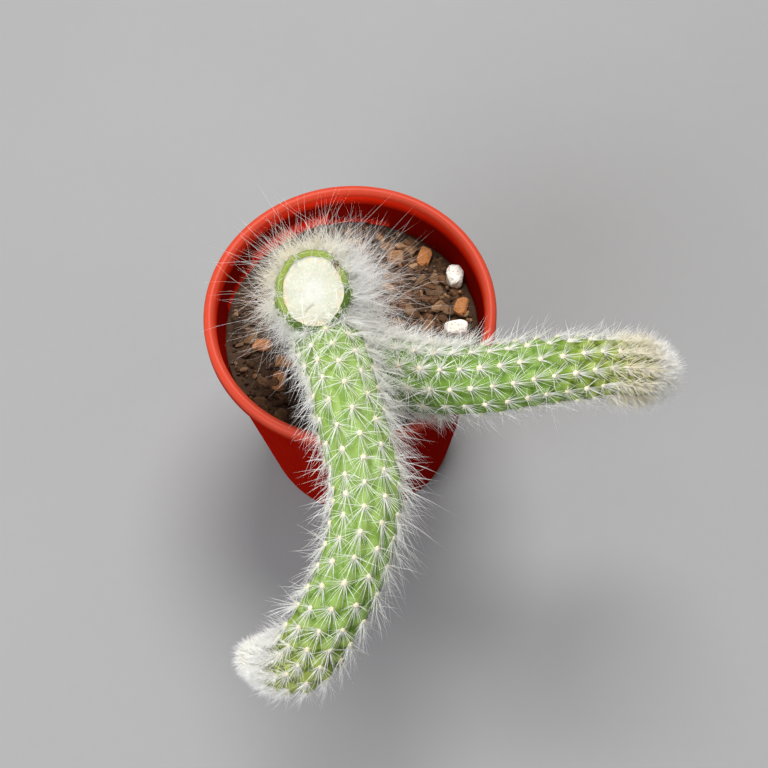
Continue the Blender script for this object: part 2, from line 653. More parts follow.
def wool_material(hair):
    """Cream felt of the woolly spots."""
    wool = Finish("woolly spots", Sheen_Weight=0.5, Specular_IOR_Level=0.2, Subsurface_Weight=0.2,
                  Subsurface_Scale=0.0006)
    patches, grain = wool.mottle(900.0, 5200.0, 0.6)
    body = wool.mix(patches, hair.wool, hair.cream)
    return wool.paint(
        Base_Color=wool.mix(wool.band(grain, 0.3, 0.5, 0.25, 0.0), body, hair.golden),
        Roughness=wool.band(grain, 0.3, 0.7, 0.8, 1.0),
        Normal=wool.bump(grain, 0.0002),
    )


def plastic_material(pot):
    """Thin red moulded plastic, lighter where rubbed, with dust near the mix and faint flow marks."""
    plastic = Finish("red moulded plastic", Specular_IOR_Level=0.0, Subsurface_Weight=0.35,
                     Subsurface_Scale=0.003, Subsurface_Radius=(1.0, 0.25, 0.08), Coat_Roughness=0.35)
    rubbed, dusty, around, inside = plastic.split("wear")
    patches, grain = plastic.mottle(70.0, 1500.0, 0.5)
    flow = plastic.noise(around, 90.0, 2.0, 0.5)
    body = plastic.mix(plastic.times(rubbed, 0.85), plastic.mix(inside, pot.red, pot.glow), pot.coral)
    body = plastic.mix(plastic.times(patches, 0.025), body, pot.coral)
    body = plastic.mix(plastic.band(flow, 0.45, 0.75, 0.0, 0.03), body, pot.coral)
    film = plastic.times(dusty, plastic.band(patches, 0.25, 0.8, 0.0, 0.28))
    specks = plastic.times(plastic.dots(420.0, 0.16, 0.30), plastic.times(dusty, 0.7))
    dust = plastic.math("MAXIMUM", film, specks)
    return plastic.paint(
        Base_Color=plastic.mix(dust, body, pot.dust),
        Coat_Weight=plastic.band(rubbed, 0.2, 0.9, 0.0, 0.18),
        Roughness=plastic.plus(plastic.band(patches, 0.0, 1.0, 0.36, 0.48), plastic.times(dust, 0.4)),
        Normal=plastic.bump(plastic.plus(plastic.times(grain, 0.35), flow), 0.00005, 0.5),
    )


def bark_material(mix):
    """Bark, peat and crumbs: each bit has its own tint, from dark peat to fresh orange bark."""
    bark = Finish("bark and peat", Specular_IOR_Level=0.3)
    tint, shade, _, _ = bark.split("bit")
    patches, grain = bark.mottle(520.0, 2400.0, 0.6)
    body = bark.ramp(tint, [(0.0, mix.peat), (0.42, mix.bark), (0.78, mix.tan), (1.0, mix.orange)])
    body = bark.mix(bark.times(patches, 0.5), body, mix.bark)
    body = bark.mix(bark.times(shade, 0.75), body, mix.peat)
    return bark.paint(
        Base_Color=bark.mix(bark.band(grain, 0.30, 0.50, 0.55, 0.0), body, mix.peat),
        Roughness=bark.band(grain, 0.3, 0.7, 0.95, 0.7),
        Normal=bark.bump(grain, 0.00035),
    )


def pumice_material(mix):
    """White stones with tiny pits and a little soil in them."""
    stone = Finish("white pumice", Specular_IOR_Level=0.3)
    patches, grain = stone.mottle(420.0, 2200.0, 0.5)
    pits = stone.dots(1100.0, 0.12, 0.32)
    body = stone.mix(stone.times(pits, 0.55), mix.white, mix.tan)
    return stone.paint(
        Base_Color=stone.mix(stone.times(patches, 0.25), body, mix.tan),
        Roughness=stone.band(grain, 0.3, 0.7, 0.7, 0.95),
        Normal=stone.bump(stone.minus(grain, pits), 0.0003, 0.8),
    )


def floor_material(stage):
    """Pale, matt floor."""
    floor = Finish("pale floor", Specular_IOR_Level=0.2)
    patches, grain = floor.mottle(6.0, 300.0, 0.7)
    darker = tuple(0.94 * value for value in stage.floor)
    return floor.paint(Base_Color=floor.mix(patches, stage.floor, darker),
                       Roughness=floor.band(grain, 0.3, 0.7, 0.7, 0.8))


class Stem:
    """A stem's middle line, radius and rhythm of knobs, and the points of its skin."""

    def __init__(self, name, settings):
        own = STEMS[name]
        self.name, self.neck, self.tip, self.golden = name, own["neck"], own["tip"], own["golden"]
        self.radius = settings.shoot_radius if self.tip else settings.main_radius
        self.knob, self.groove = settings.knob, settings.groove
        self.stagger = own["stagger"] / RIBS
        tables = (np.array(own[key], dtype=float).T for key in ("shares", "green", "spines", "turns"))
        self.shares, self.green, self.spines, turns = tables
        self.turn_lengths, self.turns = turns[0] * MM, np.radians(turns[1])
        self.spot_lengths = np.array(own["spots"]) * MM
        self.spot_counts = np.arange(len(self.spot_lengths), dtype=float)
        self.trace(own["route"])
        self.tip_radius = self.radius * self.shares[1][-1]
        self.body_end = self.length - self.tip_radius
        self.first_spot = self.neck * BARE_NECK if self.tip else FIRST_SPOT

    def trace(self, route):
        """Points on a smooth curve through the route, and a frame carried along them without twisting."""
        knots = [np.array(point) for point in route]
        knots = [2 * knots[0] - knots[1], *knots, 2 * knots[-1] - knots[-2]]
        line = []
        for a, b, c, d in zip(knots, knots[1:], knots[2:], knots[3:]):
            steps = max(2, round(float(np.linalg.norm(c - b)) / ROUTE_STEP))
            t = (np.arange(steps) / steps)[:, None]
            curve = 2 * b + (c - a) * t + (2 * a - 5 * b + 4 * c - d) * t**2 + (3 * b - a - 3 * c + d) * t**3
            line.append(0.5 * curve)
        self.line = np.vstack([*line, knots[-2]])
        steps = np.linalg.norm(np.diff(self.line, axis=0), axis=1)
        self.lengths = np.concatenate([[0.0], np.cumsum(steps)])
        self.length = float(self.lengths[-1])
        self.tangents = unit(np.gradient(self.line, axis=0))
        side = np.array(Vector(self.tangents[0]).orthogonal().normalized())
        sides = []
        for tangent in self.tangents:
            side = side - tangent * side.dot(tangent)
            side = side / np.linalg.norm(side)
            sides.append(side)
        self.sides = np.array(sides)

    def before_end(self, zone, lengths):
        """0 to 1 over a zone that is measured back from the stem's end."""
        return smoothstep(self.length - zone[0], self.length - zone[1], lengths)

    def rib_turn(self, lengths):
        """How far the ribs have turned about the stem at each length."""
        return np.interp(lengths, self.turn_lengths, self.turns)

    def at(self, lengths):
        """Middle, tangent and two side directions at each length."""
        def read(values):
            return np.stack([np.interp(lengths, self.lengths, values[:, axis]) for axis in range(3)], axis=-1)

        tangent = unit(read(self.tangents))
        side = read(self.sides)
        side = unit(side - tangent * np.sum(side * tangent, axis=-1, keepdims=True))
        return read(self.line), tangent, side, np.cross(tangent, side)

    def radius_at(self, lengths):
        radius = self.radius * np.interp(lengths * MM_IN_METRE, *self.shares)
        if not self.tip:
            return radius
        past = np.clip((lengths - self.body_end) / self.tip_radius, 0.0, 1.0)
        return radius * np.sqrt(np.maximum(1.0 - past**2, 0.0))

    def relief(self, lengths, angles):
        """Height of the knobs from 0 to 1, and how near each place is to a woolly spot."""
        counts = np.interp(lengths, self.spot_lengths, self.spot_counts)
        ribs = (angles - self.rib_turn(lengths)) / RIB_ANGLE
        knobbly = KNOBBLY + (1 - KNOBBLY) * smoothstep(*KNOBBLY_ZONE, self.length - lengths)
        total = np.zeros(np.broadcast(counts, ribs).shape)
        nearest = np.full(total.shape, 9.0)
        for step in (-1, 0, 1):
            rib = np.round(ribs) + step
            across = (ribs - rib) ** 2
            past = np.mod(counts - self.stagger * rib, 1.0)
            for along, reach in ((past, KNOB_AFTER), (1.0 - past, KNOB_BEFORE)):
                height = 1.0 - across / KNOB_ACROSS**2 - knobbly * (along / reach) ** 2
                total += np.exp(KNOB_BLEND * height)
                nearest = np.minimum(nearest, across + along**2)
        height = np.log(total) / KNOB_BLEND
        return np.clip(height, -0.3, 1.05), np.exp(-nearest / SPOT_REACH**2)

    def skin(self, lengths, angles, fade):
        """Places on the skin, outward normals, directions to the tip, knob heights, nearness to spots."""
        middle, tangent, side, other = self.at(lengths)
        out = swung(side, other, angles)
        if not self.tip:
            drawn = self.before_end((CUT_REACH, 0.0), lengths)[..., None]
            for stretch, axis in zip(CUT_OVAL, self.cut_axes(tangent)):
                out = out + drawn * (stretch - 1) * axis * np.sum(out * axis, axis=-1, keepdims=True)
        radius = self.radius_at(lengths)
        delta = 0.0001
        slope = (self.radius_at(lengths + delta) - self.radius_at(lengths - delta)) / (2 * delta)
        slope = np.clip(slope, -6.0, 6.0)[..., None]
        normal = unit(out - slope * tangent)
        height, near = self.relief(lengths, angles)
        raised = fade * (self.knob * height - self.groove)
        places = middle + out * radius[..., None] + normal * raised[..., None]
        return places, normal, unit(tangent + slope * out), height, near

    def surface(self, lengths, angles):
        """Places on the finished skin, their outward normals and the directions towards the tip."""
        return self.skin(lengths, angles, self.fade_at(lengths))[:3]

    def grid(self, lengths):
        """Lengths, places, knob heights, nearness to spots and greenness all round the skin."""
        lengths = np.repeat(lengths[:, None], COLUMNS, axis=1)
        angles = np.repeat(ring_angles()[None], len(lengths), axis=0)
        places, _, _, height, near = self.skin(lengths, angles, self.fade_at(lengths))
        return lengths, places, np.clip(height, 0, 1), near, np.interp(lengths * MM_IN_METRE, *self.green)

    def cut_axes(self, tangent):
        """The directions across the cut end and up its height."""
        across = unit(np.cross([0.0, 1.0, 0.0], tangent))
        return across, np.cross(tangent, across)

    def fade_at(self, lengths):
        """Share of the full relief: none on the foot, less on the rounded tip and beside the cut."""
        left = self.length - lengths
        if not self.tip:
            shaved = 1.0 - 0.75 * self.before_end(SHAVED_ZONE, lengths)
            return smoothstep(-0.010, -0.004, lengths - BURIED_LENGTH) * shaved
        return np.clip(lengths / self.neck, 0.0, 1.0) * (1.0 - 0.85 * smoothstep(*SMOOTH_ZONE, left))

    def spots(self, first, last, bare=None):
        """Length, place, outward normal and direction ahead of each woolly spot between two lengths."""
        lengths, angles = [], []
        low, high = np.interp([first, last], self.spot_lengths, self.spot_counts)
        for rib in range(RIBS):
            offset = (self.stagger * rib) % 1.0
            whole = np.arange(math.ceil(low - offset), math.floor(high - offset) + 1) + offset
            places = np.interp(whole, self.spot_counts, self.spot_lengths)
            lengths.append(places)
            angles.append(rib * RIB_ANGLE + self.rib_turn(places))
        lengths, angles = np.concatenate(lengths), np.concatenate(angles)
        found = (lengths, *self.surface(lengths, angles))
        return found if bare is None else [values[~bare(found[1])] for values in found]

    def distance(self, places):
        """Nearest distance of each place to the middle line."""
        return np.linalg.norm(places[:, None] - self.line[None, ::4], axis=2).min(axis=1)


def ring_angles():
    return np.arange(COLUMNS) * RIB_ANGLE / COLUMNS_PER_RIB


def grid_faces(rows, columns):
    """Quads of a closed strip of rows: columns wrap round, and points run along a row first."""
    row = np.arange(rows - 1)[:, None] * columns
    column = np.arange(columns)[None]
    after = (column + 1) % columns
    quads = np.stack([row + column, row + after, row + columns + after, row + columns + column], axis=-1)
    return quads.reshape(-1, 4)


def fan(columns, start, centre):
    """Triangles from the row of points that begins at start to one middle point."""
    column = np.arange(columns)
    after = (column + 1) % columns
    return np.stack([start + column, start + after, np.full(columns, centre)], axis=-1)


def tube_faces(number, rows, columns):
    """Faces of a number of tubes, each closed by a last middle point."""
    size = rows * columns + 1
    start = np.arange(number)[:, None, None] * size
    quads = start + grid_faces(rows, columns)
    ends = start + fan(columns, size - 1 - columns, size - 1)
    return [quads.reshape(-1, 4), ends.reshape(-1, 3)]


def corner_places(*corners):
    """Map places of the corners of faces, face by face, from the places of each corner in turn."""
    places = [np.stack(np.broadcast_arrays(*corner), axis=-1) for corner in corners]
    return np.stack(places, axis=-2).reshape(-1, 2)


def skin_map(rows):
    """Map places of a closed skin: once round its width, up its rows, and in to its middle point."""
    left = np.arange(COLUMNS) / COLUMNS
    right = left + 1.0 / COLUMNS
    heights = np.linspace(0.0, CAP_START, rows)[:, None]
    low, high = heights[:-1], heights[1:]
    sides = corner_places((left, low), (right, low), (right, high), (left, high))
    cap = corner_places((left, CAP_START), (right, CAP_START), (left + 0.5 / COLUMNS, 1.0))
    return {BAKE_MAP: np.vstack([sides, cap])}


def shoot_skin(stem, material):
    """A shoot's skin, from its foot inside the main stem to its rounded tip."""
    lengths = stem.length * np.linspace(0.0, 1.0, round(stem.length / ROW_STEP))
    crowd = np.sin(np.linspace(0.0, math.pi / 2, TIP_ROWS)[1:])
    tip = stem.body_end + crowd * (stem.length - stem.body_end) * 0.999
    lengths = np.concatenate([lengths[lengths < stem.body_end], tip])
    rows = len(lengths)
    lengths, places, height, near, green = stem.grid(lengths)
    young = smoothstep(*YOUNG_ZONE, stem.length - lengths)
    near = np.maximum(near, smoothstep(*TIP_FELT_ZONE, stem.length - lengths))
    marked = np.maximum(green * 0.9, 0.5 + 0.5 * smoothstep(*MARKED_ZONE, stem.length - lengths))
    shades = np.stack([marked * (1.0 - height), near, young, green], axis=-1)
    points = np.vstack([places.reshape(-1, 3), stem.at(np.array([stem.length]))[0]])
    shades = np.vstack([shades.reshape(-1, 4), [[0.5, 0.0, 1.0, 1.0]]])
    faces = tube_faces(1, rows, COLUMNS)
    piece = build_mesh(f"{stem.name}_skin", points, faces, skin_map(rows), {"relief": shades}, [material])
    dress(piece, "shoot", stem.name)


def cut_stem_skin(stem, rim_width, materials):
    """The main stem's skin, closed by its cut: a rolled green edge, then the pale pith."""
    lengths = np.linspace(0.0, stem.length, round(stem.length / ROW_STEP))
    angles = ring_angles()
    _, places, height, near, green = stem.grid(lengths)
    middle, tangent, _, _ = stem.at(np.array([stem.length]))
    across, tall = stem.cut_axes(tangent)
    edge = places[-1] - middle
    reach = np.linalg.norm(edge, axis=1, keepdims=True)
    out = edge / reach
    plain_edge = stem.skin(np.full(COLUMNS, stem.length), angles, 0.0)[0] - middle
    inner = np.linalg.norm(plain_edge, axis=1) - rim_width
    bearing = np.arctan2(edge @ tall[0], edge @ across[0])
    off = np.abs((bearing - math.radians(RIM_DRIED) + math.pi) % TURN - math.pi)
    dried = smoothstep(0.22, 0.08, off)
    lower = smoothstep(0.2, -0.7, np.sin(bearing - 0.5))
    zero, one = np.zeros(COLUMNS), np.ones(COLUMNS)
    rows = [*places]
    shades = [*np.stack([1.0 - height, near, np.zeros_like(near), green], axis=-1)]
    for inset, rise in RIM_ROWS:
        rows.append(middle + out * (reach - inset) + tangent * rise)
        shades.append(np.stack([zero, zero, dried, lower], axis=-1))
    crack = np.array(PITH_CRACK) * MM
    wave = np.array([noise.noise(Vector((3 * math.cos(a), 3 * math.sin(a), 9.0))) for a in angles])
    for share_in in [1.0 - index / PITH_ROWS for index in range(PITH_ROWS)]:
        radius = inner * share_in * (1 + 0.035 * wave * share_in**3)
        dome = 0.00035 * (1 - share_in**2) - 0.00012 * smoothstep(0.8, 1.0, share_in)
        flat = [Vector((r * math.cos(a), r * math.sin(a), 0.002)) for r, a in zip(radius, angles)]
        ripple = np.array([noise.noise(place * 420) for place in flat])
        spread = np.stack([radius * (out @ across[0]), radius * (out @ tall[0])], axis=-1)
        cracked = np.exp(-(np.linalg.norm(spread[:, None] - crack[None], axis=2).min(axis=1) / 0.00024) ** 2)
        lift = dome + 0.00016 * ripple - 0.0002 * cracked
        rows.append(middle + out * radius[:, None] + tangent * lift[:, None])
        shades.append(np.stack([np.full(COLUMNS, share_in), angles / TURN, cracked, one], -1))
    points = np.vstack([*rows, middle + tangent * 0.0004])
    shades = np.vstack([*shades, [[0.0, 0.0, 0.0, 1.0]]])
    slots = np.zeros(len(rows) * COLUMNS, dtype=np.int32)
    slots[(len(lengths) - 1) * COLUMNS:] = 1
    slots[(len(lengths) - 1 + len(RIM_ROWS)) * COLUMNS:] = 2
    maps, faces = skin_map(len(rows)), tube_faces(1, len(rows), COLUMNS)
    piece = build_mesh(f"{stem.name}_skin", points, faces, maps, {"relief": shades}, materials, slots)
    dress(piece, "stem", stem.name)


def hair_piece(name, hairs, rings, curl, material, slot_name):
    """Tapered hairs as one mesh. hairs holds their roots, ways, bends, lengths, radii and tints."""
    roots, ways, bends, lengths, radii, tints = hairs
    number = len(roots)
    along = np.linspace(0.0, 1.0, rings + 1)[None, :, None]
    curls = np.random.default_rng(SEED + 7).normal(0.0, curl, (number, 1, 3)) * np.sin(1.6 * math.pi * along)
    bent = ways[:, None] * along + bends[:, None] * along**2 + curls
    middle = roots[:, None] + lengths[:, None, None] * bent
    helper = np.where(np.abs(ways[:, 2:3]) < 0.9, [[0.0, 0.0, 1.0]], [[1.0, 0.0, 0.0]])
    across = unit(np.cross(ways, helper))
    sides = np.arange(HAIR_SIDES)
    ring = swung(across[:, None], np.cross(ways, across)[:, None], (TURN * sides / HAIR_SIDES)[None])
    width = radii[:, None] * (1.0 - along[0, :-1, 0][None]) ** 0.6
    points = middle[:, :-1, None] + width[:, :, None, None] * ring[:, None]
    points = np.concatenate([points.reshape(number, rings * HAIR_SIDES, 3), middle[:, -1:]], axis=1)
    cell = (np.clip(np.round(tints * (HAIR_TINTS - 1)), 0, HAIR_TINTS - 1)) / HAIR_TINTS
    step = 0.8 / (HAIR_SIDES * HAIR_TINTS)
    left = cell[:, None, None] + 0.1 / HAIR_TINTS + step * sides[None, None]
    right = left + step
    low, high, last = along[0, :rings - 1], along[0, 1:rings], along[0, rings - 1]
    walls = corner_places((left, low), (right, low), (right, high), (left, high))
    points_of = corner_places((left, last), (right, last), (left + step / 2, 1.0))
    places = np.vstack([walls, points_of])
    maps = {HAIR_MAP: places, BAKE_MAP: places}
    faces = tube_faces(number, rings, HAIR_SIDES)
    dress(build_mesh(name, points.reshape(-1, 3), faces, maps, None, [material]), slot_name)


def inside_box(places):
    """Whether each place lies in the solids' box, with a little room round it."""
    low, high = np.array(SOLID_BOX[0]) - BOX_ROOM, np.array(SOLID_BOX[1]) + BOX_ROOM
    return np.all((places > low) & (places < high), axis=-1)


def clear_of_soil(places, top):
    """Whether each place is above the mix, or outside the pot."""
    return (places[:, 2] > top) | (np.linalg.norm(places[:, :2], axis=1) > POT_HIGH.x)


def clear_of_wall(places):
    """Whether each place is above the pot's lip, or well inside its wall."""
    return (places[:, 2] > POT_HIGH.z) | (np.linalg.norm(places[:, :2], axis=1) < POT_HIGH.x - WALL_ROOM)


def covered_by(shoots, room, top):
    """A test for places that lie in the mix, or in a shoot with the given room round it."""
    def test(places):
        near = [shoot.distance(places) < shoot.radius + room for shoot in shoots]
        return np.any([*near, places[:, 2] < top + SPOT_ROOM], axis=0)

    return test


def shoot_spines(stem, hair, mix, draw):
    """Roots, ways, bends, lengths, radii and tints of a shoot's spines."""
    golden = stem.golden
    lengths, places, normal, ahead = stem.spots(stem.first_spot, stem.length - 0.0001)
    age = stem.length - lengths
    newest = smoothstep(*NEWEST_ZONE, age)
    oldest = smoothstep(*OLDEST_ZONE, lengths)
    tangent = stem.at(lengths)[1]
    late = (1.0 - golden) * smoothstep(*LATE_ZONE, lengths)
    sunny = 1.0 + (0.3 - 0.4 * late) * (1.0 - golden) * normal[:, 0]
    above = np.clip(0.5 * normal[:, 1] + 0.86 * normal[:, 2], 0.0, 1.0)
    crest = golden * above**3 * smoothstep(*CREST_END, lengths) * smoothstep(*CREST_START, lengths)
    tan_part = golden * smoothstep(*GOLDEN_START, age)
    numbers = hair.spines * (1.0 + 0.5 * oldest + 1.4 * newest + 0.3 * late + 3.0 * crest + 0.8 * tan_part)
    numbers = numbers * draw.uniform(0.8, 1.2, len(lengths)) * sunny
    numbers = np.round(numbers * (age > stem.tip)).astype(int)
    spot = np.repeat(np.arange(len(lengths)), numbers)
    order = np.concatenate([(np.arange(number) + 0.5) / number for number in numbers]) * 2 - 1
    lean = draw.normal(0, 0.10, (len(lengths), 3))[spot]
    places, normal, ahead, tangent, newest, age = (
        values[spot] for values in (places, normal, ahead, tangent, newest, age)
    )
    number = len(spot)
    around = np.sign(order) * np.abs(order) ** 1.25 * 2.2 + draw.normal(0, 0.24, number)
    central = draw.random(number) < 0.36
    lift = np.where(central, draw.uniform(0.55, 1.00, number), draw.uniform(0.15, 0.60, number))
    flat = swung(ahead, np.cross(normal, ahead), around)
    ways = flat * np.cos(lift)[:, None] + normal * (np.sin(lift) + 0.35 * newest)[:, None]
    ways = unit(ways + tangent * (0.30 + 0.10 * newest)[:, None] + lean + draw.normal(0, 0.10, (number, 3)))
    reach = 0.36 + 0.38 * (1 + np.cos(around)) / 2
    reach = np.where(central, 1.0, reach) * draw.triangular(0.45, 0.95, 1.15, number)
    stray = draw.random(number) < 0.03
    spans = np.interp((stem.length - age) * MM_IN_METRE, *stem.spines) * MM * hair.spine_share
    spans = spans * (0.45 + 0.55 * sunny[spot]) * np.where(stray, reach * 1.2, reach)
    bends = ahead * 0.08 - normal * 0.04 + draw.normal(0, 0.06, (number, 3))
    roots = places + flat * (SPINE_SPREAD * np.sqrt(draw.random(number)))[:, None] - normal * SINK
    radii = hair.spine_radius * draw.uniform(0.7, 1.2, number)
    zone = smoothstep(*GOLDEN_START, age) * smoothstep(*GOLDEN_END, age)
    tints = 0.03 + 0.20 * draw.random(number) + golden * zone * draw.uniform(0.3, 0.9, number)
    tips = roots + spans[:, None] * (ways + bends)
    keep = inside_box(tips) & clear_of_soil(tips, mix.top + SPINE_GAP)
    return [values[keep] for values in (roots, ways, bends, spans, radii, tints)]


def tip_fur(stem, number, cover, span, golden, hair, draw):
    """Dense spines over a zone at a shoot's growing tip, fanned out from it."""
    (nearest, farthest), spread = cover
    age = nearest + (farthest - nearest) * draw.random(number) ** 0.7
    places, normal, _ = stem.surface(stem.length - age, draw.uniform(0, TURN, number))
    tangent = stem.at(stem.length - age)[1]
    ways = normal * (spread * draw.uniform(0.7, 1.3, number))[:, None] + tangent
    ways = unit(ways) + draw.normal(0, 0.13, (number, 3))
    spans = span * draw.uniform(0.6, 1.15, number)
    bends = draw.normal(0, 0.05, (number, 3))
    radii = hair.spine_radius * draw.uniform(0.8, 1.2, number) * (1.0 + 0.25 * golden)
    tints = 0.03 + 0.45 * draw.random(number) + golden * draw.uniform(0.3, 0.8, number)
    return [places - normal * 2 * SINK, unit(ways), bends, spans, radii, tints]


def fluff(stem, last, number, size, bare, draw):
    """Short felted hairs on each woolly spot of a stem."""
    spots = stem.spots(stem.first_spot, last, bare)[1:]
    places, normal, ahead = (np.repeat(values, number, axis=0) for values in spots)
    total = len(places)
    around = draw.uniform(0, TURN, total)
    flat = ahead * np.cos(around)[:, None] * 1.3 + np.cross(normal, ahead) * np.sin(around)[:, None]
    out = np.sqrt(draw.random(total))[:, None]
    roots = places + flat * out * size * 0.8 + normal * size * 0.45 * (1 - out**2)
    ways = unit(flat * out * 0.9 + normal * 0.8 + draw.normal(0, 0.35, (total, 3)))
    bends = draw.normal(0, 0.3, (total, 3))
    spans = size * draw.uniform(1.0, 3.0, total)
    radii = FLUFF_RADIUS * draw.uniform(0.7, 1.2, total)
    return [roots, ways, bends, spans, radii, 0.20 + 0.4 * draw.random(total)]


def joined(*groups):
    """Groups of hairs put together."""
    return [np.concatenate(values) for values in zip(*groups)]


def main_hairs(stem, shoots, hair, mix, draw):
    """The main stem's long soft hair, warm at its upper left and clear white on its right."""
    bare = covered_by(shoots, -HAIR_OVERLAP, mix.top)
    lengths, places, normal, ahead = stem.spots(stem.first_spot, stem.length, bare)
    total = len(places)
    high = stem.before_end(DENSE_ZONE, lengths)
    to_right, to_left = np.clip(normal[:, 0], 0, 1), np.clip(-normal[:, 0], 0, 1)
    sunny = 1.0 + 1.2 * to_right - 0.45 * to_left
    sunny = sunny * (1.0 - 0.4 * np.clip(-normal[:, 1], 0, 1) * (normal[:, 0] < 0))
    numbers = np.round(hair.hairs * (0.35 + 0.65 * high) * sunny * draw.uniform(0.6, 1.4, total)).astype(int)
    spot = np.repeat(np.arange(total), numbers)
    lean = draw.normal(0, 0.36, (total, 3))[spot]
    lock = draw.normal(0, 0.20, (total, 3))[spot]
    drawn_out = 1.0 + 0.35 * to_right - 0.13 * to_left - 0.28 * np.clip(normal[:, 1], 0, 1)
    size = (draw.uniform(0.7, 1.3, total) * drawn_out)[spot]
    places, normal, ahead = places[spot], normal[spot], ahead[spot]
    top = stem.before_end(FOLDED_ZONE, lengths[spot])
    beside = np.cross(normal, ahead)
    number = len(spot)
    around = draw.uniform(0, TURN, number)
    lift = draw.uniform(0.25, 1.25, number)
    flat = swung(ahead, beside, around)
    ways = unit(flat * np.cos(lift)[:, None] + normal * (np.sin(lift) + 0.25)[:, None] + lean)
    spans = hair.hair * size * draw.triangular(0.2, 0.5, 1.4, number)
    inward = (draw.random(number) < 0.35) & (top > 0.5)
    over = unit(ahead * 0.9 - normal * 0.55 + beside * draw.normal(0, 0.6, (number, 1)))
    ways = np.where(inward[:, None], over, ways)
    spans = np.where(inward, 0.0040 * draw.uniform(0.6, 1.2, number), spans)
    stray = (draw.random(number) < 0.012) & ~inward
    spans = np.where(stray, hair.hair * draw.uniform(1.2, 1.6, number), spans)
    bends = lock + draw.normal(0, 0.27, (number, 3)) + np.array([0.0, 0.0, -0.05])
    roots = places + flat * (HAIR_SPREAD * np.sqrt(draw.random(number)))[:, None] - normal * SINK
    return finished_hairs(shoots, (roots, ways, bends, spans), normal, hair, mix, draw)


def finished_hairs(shoots, hairs, normal, hair, mix, draw):
    """Hairs of the main stem with their radii and tints, less those that would end inside something."""
    roots, ways, bends, spans = hairs
    number = len(roots)
    radii = hair.hair_radius * draw.uniform(0.65, 1.15, number)
    warm = smoothstep(0.2, -0.8, 0.6 * normal[:, 0] - 0.8 * normal[:, 1])
    tints = 0.01 + 0.07 * draw.random(number) + warm * (0.35 + 0.64 * draw.random(number))
    tips = roots + spans[:, None] * (ways + bends)
    keep = inside_box(tips) & clear_of_soil(tips, mix.top + HAIR_GAP) & clear_of_wall(tips)
    for shoot in shoots:
        keep &= shoot.distance(tips) > shoot.radius
        keep &= shoot.distance(roots) > shoot.radius * 0.85
    return [values[keep] for values in (roots, ways, bends, spans, radii, tints)]


def felt_hairs(stem, shoots, hair, mix, draw):
    """Short curly hairs all round the top of the main stem, just under its cut."""
    number = hair.felt
    lengths = stem.length - 0.0004 - 0.007 * draw.random(number)
    places, normal, ahead = stem.surface(lengths, draw.uniform(0, TURN, number))
    sway = draw.normal(0, 0.55, (number, 3))
    ways = unit(normal * draw.uniform(0.5, 1.2, number)[:, None] + ahead * 0.5 + sway)
    spans = draw.uniform(0.0028, 0.0065, number)
    hairs = (places - normal * SINK, ways, draw.normal(0, 0.35, (number, 3)), spans)
    return finished_hairs(shoots, hairs, normal, hair, mix, draw)


def rim_tufts(stem, draw):
    """Small tufts of white wool that cross the green rim of the cut."""
    tuft = 26
    number = tuft * len(RIM_TUFTS)
    turns = np.radians(np.repeat(RIM_TUFTS, tuft)) + draw.normal(0, 0.04, number)
    middle, tangent, _, _ = stem.at(np.full(number, stem.length))
    across, tall = stem.cut_axes(tangent)
    out = across * (CUT_OVAL[0] * np.cos(turns))[:, None] + tall * (CUT_OVAL[1] * np.sin(turns))[:, None]
    roots = middle + out * (stem.radius * draw.uniform(0.90, 1.02, number))[:, None] + tangent * 0.0001
    ways = unit(tangent * 0.35 + out * draw.normal(0, 0.5, (number, 1)) + draw.normal(0, 0.55, (number, 3)))
    ways = unit(ways + tangent * np.maximum(0.15 - np.sum(ways * tangent, axis=1), 0.0)[:, None])
    spans = draw.uniform(0.0012, 0.0034, number)
    bends = draw.normal(0, 0.2, (number, 3)) + tangent * 0.1
    return [roots, ways, bends, spans, np.full(number, LONG_RADIUS), 0.02 + 0.1 * draw.random(number)]


def long_hairs(stem, draw):
    """A few very long hairs that stand out all round the top of the main stem."""
    degrees, reaches = np.array(LONG_HAIRS, dtype=float).T
    spans, number = reaches * MM, len(reaches)
    middle, tangent, _, _ = stem.at(stem.length - draw.uniform(0.001, 0.006, number))
    out = swung(*stem.cut_axes(tangent), np.radians(degrees))
    roots = middle + out * (stem.radius + 0.0004)
    bends = draw.normal(0, 0.12, (number, 3))
    ways = unit(out + tangent * draw.uniform(-0.1, 0.15, (number, 1)))
    tips = roots + spans[:, None] * (ways + bends)
    keep = inside_box(tips) & clear_of_wall(tips)
    hairs = (roots, ways, bends, spans, np.full(number, LONG_RADIUS), np.full(number, 0.15))
    return [values[keep] for values in hairs]


